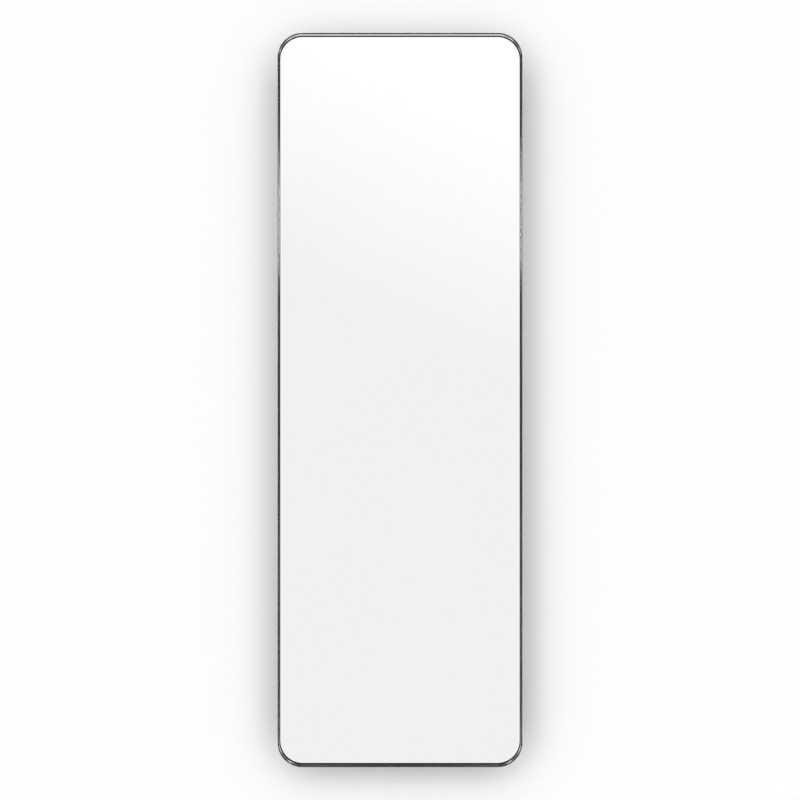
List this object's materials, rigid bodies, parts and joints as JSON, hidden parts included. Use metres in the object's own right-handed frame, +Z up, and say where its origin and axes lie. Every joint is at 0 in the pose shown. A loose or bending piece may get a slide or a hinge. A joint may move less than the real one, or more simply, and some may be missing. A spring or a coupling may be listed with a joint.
{
  "type": "pull out closet mirror",
  "caption": "Tall rounded mirror in a thin dark frame that slides out of a closet on telescopic slides and swivels on a vertical shaft.",
  "frame": {"origin": "centre of the base plate's mounting face, which lies on the closet's side panel", "axes": "+X is the pull-out direction, +Y points into the side panel, so the mirror faces -Y, +Z up"},
  "size_m": [0.35, 0.0577, 1.05],
  "materials": {
    "dark_anodised": "dark anodised, satin",
    "silvered_glass": "float glass silvered on its back",
    "black_rubber": "matt black",
    "grey_film": "woven-backed safety film",
    "dark_board": "black hardboard",
    "zinc_plated_steel": "clear zinc plated",
    "powder_coated_steel": "dark grey powder coat",
    "bright_steel": "bright plated",
    "black_plastic": "moulded black",
    "natural_plastic": "natural acetal"
  },
  "bodies": {
    "base": {"base_plate": "powder_coated_steel", "upper_slide_outer_member": "zinc_plated_steel", "lower_slide_outer_member": "zinc_plated_steel", "upper_slide_rear_bumper": "black_plastic", "lower_slide_rear_bumper": "black_plastic", "upper_slide_rear_screw": "bright_steel", "upper_slide_front_screw": "bright_steel", "lower_slide_rear_screw": "bright_steel", "lower_slide_front_screw": "bright_steel"},
    "outer_ball_cages": {"upper_slide_outer_ball_cage": "bright_steel", "lower_slide_outer_ball_cage": "bright_steel"},
    "middle_members": {"upper_slide_middle_member": "zinc_plated_steel", "lower_slide_middle_member": "zinc_plated_steel"},
    "inner_ball_cages": {"upper_slide_inner_ball_cage": "bright_steel", "lower_slide_inner_ball_cage": "bright_steel"},
    "carriage": {"upper_slide_inner_member": "zinc_plated_steel", "lower_slide_inner_member": "zinc_plated_steel", "carriage_plate": "powder_coated_steel", "upper_carriage_rear_screw": "bright_steel", "upper_carriage_front_screw": "bright_steel", "lower_carriage_rear_screw": "bright_steel", "lower_carriage_front_screw": "bright_steel", "catch_housing": "black_plastic", "catch_magnet": "bright_steel", "pivot_tube": "powder_coated_steel", "swivel_stop_ring": "powder_coated_steel", "upper_pivot_bush": "natural_plastic", "lower_pivot_bush": "natural_plastic"},
    "mirror": {"upper_friction_washer": "natural_plastic", "lower_friction_washer": "natural_plastic", "upper_pivot_bracket": "powder_coated_steel", "lower_pivot_bracket": "powder_coated_steel", "pivot_shaft": "bright_steel", "disc_spring": "bright_steel", "lock_nut": "bright_steel", "upper_bracket_rear_screw": "bright_steel", "upper_bracket_front_screw": "bright_steel", "lower_bracket_rear_screw": "bright_steel", "lower_bracket_front_screw": "bright_steel", "hinge_spine": "powder_coated_steel", "upper_cross_rail": "zinc_plated_steel", "middle_cross_rail": "zinc_plated_steel", "lower_cross_rail": "zinc_plated_steel", "upper_spine_screw": "bright_steel", "middle_spine_screw": "bright_steel", "lower_spine_screw": "bright_steel", "upper_rail_trailing_screw": "bright_steel", "upper_rail_leading_screw": "bright_steel", "middle_rail_trailing_screw": "bright_steel", "middle_rail_leading_screw": "bright_steel", "lower_rail_trailing_screw": "bright_steel", "lower_rail_leading_screw": "bright_steel", "backing_board": "dark_board", "safety_film": "grey_film", "glazing_gasket": "black_rubber", "mirror_glass": "silvered_glass", "frame_joiner": "zinc_plated_steel", "mirror_frame": "dark_anodised"}
  },
  "joints": [
    {"name": "mirror_pull_out", "type": "slide", "parent": "base", "child": "carriage", "axis": [1, 0, 0], "range_m": [0, 0.3]},
    {"name": "middle_member_slide", "type": "slide", "parent": "base", "child": "middle_members", "axis": [1, 0, 0], "range_m": [0, 0.15]},
    {"name": "outer_cage_slide", "type": "slide", "parent": "base", "child": "outer_ball_cages", "axis": [1, 0, 0], "range_m": [0, 0.075]},
    {"name": "inner_cage_slide", "type": "slide", "parent": "base", "child": "inner_ball_cages", "axis": [1, 0, 0], "range_m": [0, 0.225]},
    {"name": "mirror_swivel", "type": "hinge", "parent": "carriage", "child": "mirror", "pos_m": [0.16, -0.0215, 0], "axis": [0, 0, 1], "range_deg": [0, 90]}
  ],
  "couplings": [
    {"joint": "middle_member_slide", "follows": "mirror_pull_out", "ratio": 0.5},
    {"joint": "outer_cage_slide", "follows": "mirror_pull_out", "ratio": 0.25},
    {"joint": "inner_cage_slide", "follows": "mirror_pull_out", "ratio": 0.75}
  ]
}
